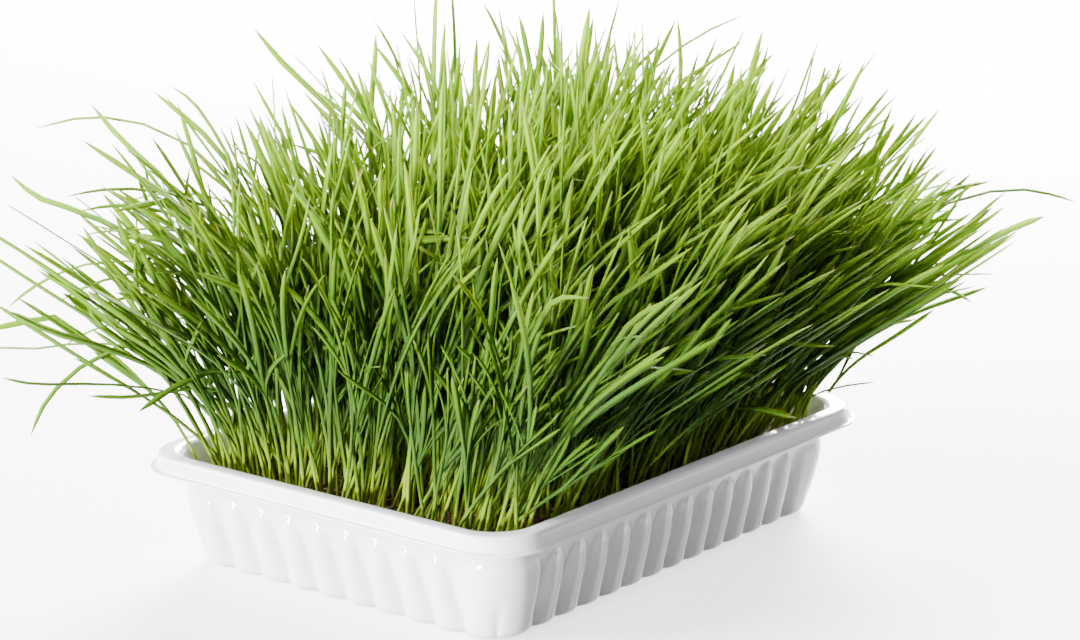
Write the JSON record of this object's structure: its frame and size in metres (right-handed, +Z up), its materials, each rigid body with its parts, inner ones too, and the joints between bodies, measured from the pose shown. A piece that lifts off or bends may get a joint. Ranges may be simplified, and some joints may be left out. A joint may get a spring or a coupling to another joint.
{
  "type": "wheatgrass tray",
  "caption": "Dense stand of growing wheatgrass in a shallow white plastic tray with fluted, tapering walls and a flat rolled rim.",
  "frame": {"origin": "middle of the tray's flat underside", "axes": "+Z up, X along the tray's long side, Y along its short side"},
  "size_m": [0.3963, 0.3415, 0.2013],
  "materials": {
    "tray": "smooth, glossy white thermoformed sheet",
    "medium": "rough, damp potting mix",
    "grass": "satin leaf, bright yellow-green to deep green"
  },
  "bodies": {
    "root": {"tray": "tray", "growing_medium": "medium", "grass_tuft_01": "grass", "grass_tuft_02": "grass", "grass_tuft_03": "grass", "grass_tuft_04": "grass", "grass_tuft_05": "grass", "grass_tuft_06": "grass", "grass_tuft_07": "grass", "grass_tuft_08": "grass", "grass_tuft_09": "grass", "grass_tuft_10": "grass", "grass_tuft_11": "grass", "grass_tuft_12": "grass", "grass_tuft_13": "grass", "grass_tuft_14": "grass", "grass_tuft_15": "grass", "grass_tuft_16": "grass", "grass_tuft_17": "grass", "grass_tuft_18": "grass", "grass_tuft_19": "grass", "grass_tuft_20": "grass", "grass_tuft_21": "grass", "grass_tuft_22": "grass", "grass_tuft_23": "grass", "grass_tuft_24": "grass", "grass_tuft_25": "grass", "grass_tuft_26": "grass", "grass_tuft_27": "grass", "grass_tuft_28": "grass", "grass_tuft_29": "grass", "grass_tuft_30": "grass", "grass_tuft_31": "grass", "grass_tuft_32": "grass", "grass_tuft_33": "grass"}
  },
  "joints": []
}
